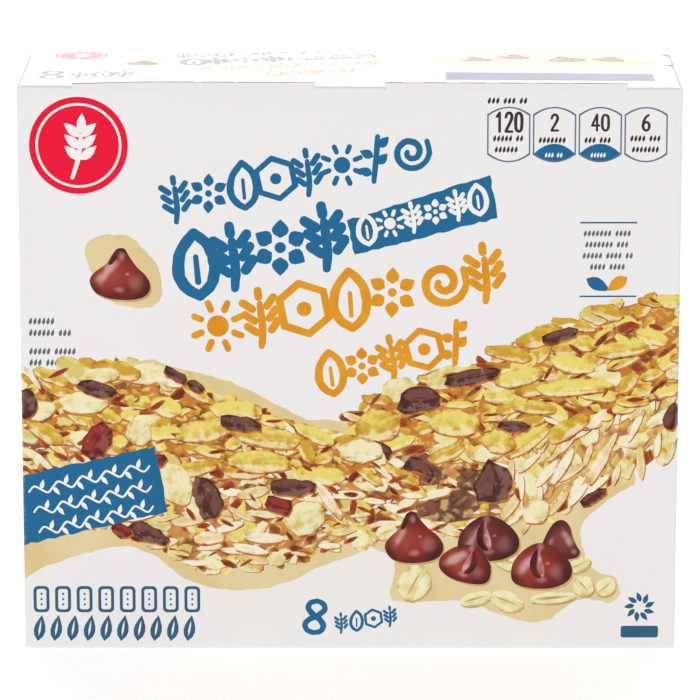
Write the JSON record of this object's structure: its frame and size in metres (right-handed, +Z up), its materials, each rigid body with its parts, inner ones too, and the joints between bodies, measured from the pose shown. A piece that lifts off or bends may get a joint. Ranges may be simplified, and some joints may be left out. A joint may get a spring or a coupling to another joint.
{
  "type": "granola bar carton",
  "caption": "Shut paperboard carton for granola bars, glued at both ends, with a cut-through lid hinge along the front top edge and a colour print all round.",
  "frame": {"origin": "centre of the carton's footprint, on the surface that it stands on", "axes": "+X along the width, towards the right-hand end as the front panel is seen; +Y from the front panel to the back; +Z up"},
  "size_m": [0.1606, 0.0522, 0.1417],
  "materials": {
    "printed_board": "white clay-coated board, offset printed, satin varnish",
    "raw_board": "bare board: pale cut edges, and an uncoated reverse that lies in shade inside the pack"
  },
  "bodies": {
    "root": {"carton": "printed_board"}
  },
  "joints": []
}
